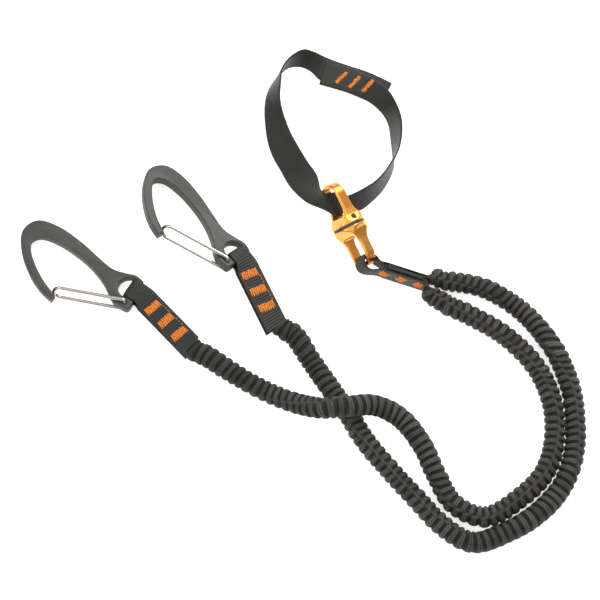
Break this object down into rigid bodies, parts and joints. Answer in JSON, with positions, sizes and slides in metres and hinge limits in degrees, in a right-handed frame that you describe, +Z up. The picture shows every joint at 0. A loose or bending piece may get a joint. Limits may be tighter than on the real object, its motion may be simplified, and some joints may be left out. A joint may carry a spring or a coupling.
{
  "type": "shock absorbing lanyard",
  "caption": "Twin-arm elastic tether with gathered fabric sleeves, wire-gate clips on sewn webbing tabs, and a swivel carrying a sewn webbing anchor sling.",
  "frame": {"origin": "the centre of the footprint of everything but the two elastic arms, on the surface the object lies on", "axes": "+Z up; +X from the left clip to the junction tab; the elastic arms lie to the -Y and +X side, and the sling to the +Y side"},
  "size_m": [0.3797, 0.3624, 0.0357],
  "materials": {
    "clip_metal": "matte dark grey anodising",
    "gate_wire": "bright drawn wire",
    "webbing": "woven nylon",
    "thread": "bonded thread",
    "sleeve_fabric": "gathered tubular webbing",
    "elastic": "matte",
    "anodised": "polished, orange anodised",
    "steel": "turned",
    "seal": "dark grey"
  },
  "bodies": {
    "arms": {"left_sleeve": "sleeve_fabric", "right_sleeve": "sleeve_fabric", "left_elastic_core": "elastic", "right_elastic_core": "elastic", "left_tab": "webbing", "left_tab_stitching": "thread", "right_tab": "webbing", "right_tab_stitching": "thread", "junction_tab": "webbing", "junction_stitching": "thread"},
    "clip_left": {"left_clip_body": "clip_metal"},
    "gate_left": {"left_clip_gate": "gate_wire"},
    "clip_right": {"right_clip_body": "clip_metal"},
    "gate_right": {"right_clip_gate": "gate_wire"},
    "swivel_lower": {"swivel_lower_eye": "anodised", "swivel_seal_ring": "seal", "swivel_thrust_washer": "seal"},
    "swivel_upper": {"swivel_upper_eye": "anodised", "swivel_spindle": "steel", "swivel_cross_pin": "steel"},
    "sling": {"anchor_sling": "webbing", "sling_stitching": "thread"}
  },
  "joints": [
    {"name": "left_clip_swing", "type": "hinge", "parent": "arms", "child": "clip_left", "pos_m": [-0.0615, -0.0663, 0.0052], "axis": [0.4984, 0.8632, -0.0802], "range_deg": [-60, 60]},
    {"name": "left_gate_open", "type": "hinge", "parent": "clip_left", "child": "gate_left", "pos_m": [-0.06738, -0.07649, 0.00615], "axis": [-0.0401, -0.0694, -0.9968], "range_deg": [0, 30], "stiffness_Nm_per_rad": 0.08, "springref_deg": -20.05},
    {"name": "right_clip_swing", "type": "hinge", "parent": "arms", "child": "clip_right", "pos_m": [0.0088, -0.0418, 0.0085], "axis": [0.667, 0.6441, -0.3746], "range_deg": [-60, 60]},
    {"name": "right_gate_open", "type": "hinge", "parent": "clip_right", "child": "gate_right", "pos_m": [0.00093, -0.0494, 0.01292], "axis": [-0.2695, -0.2602, -0.9272], "range_deg": [0, 30], "stiffness_Nm_per_rad": 0.08, "springref_deg": -20.05},
    {"name": "eye_swing", "type": "hinge", "parent": "arms", "child": "swivel_lower", "pos_m": [0.09667, -0.04796, 0.00948], "axis": [0.5226, -0.0545, 0.8508], "range_deg": [-25, 25]},
    {"name": "swivel_spin", "type": "hinge", "parent": "swivel_lower", "child": "swivel_upper", "pos_m": [0.0843, -0.0242, 0.0186], "axis": [-0.4371, 0.8397, 0.3223], "continuous": true},
    {"name": "sling_swing", "type": "hinge", "parent": "swivel_upper", "child": "sling", "pos_m": [0.07132, 0.00074, 0.02817], "axis": [0.4967, -0.0733, 0.8648], "range_deg": [-6, 6]}
  ]
}
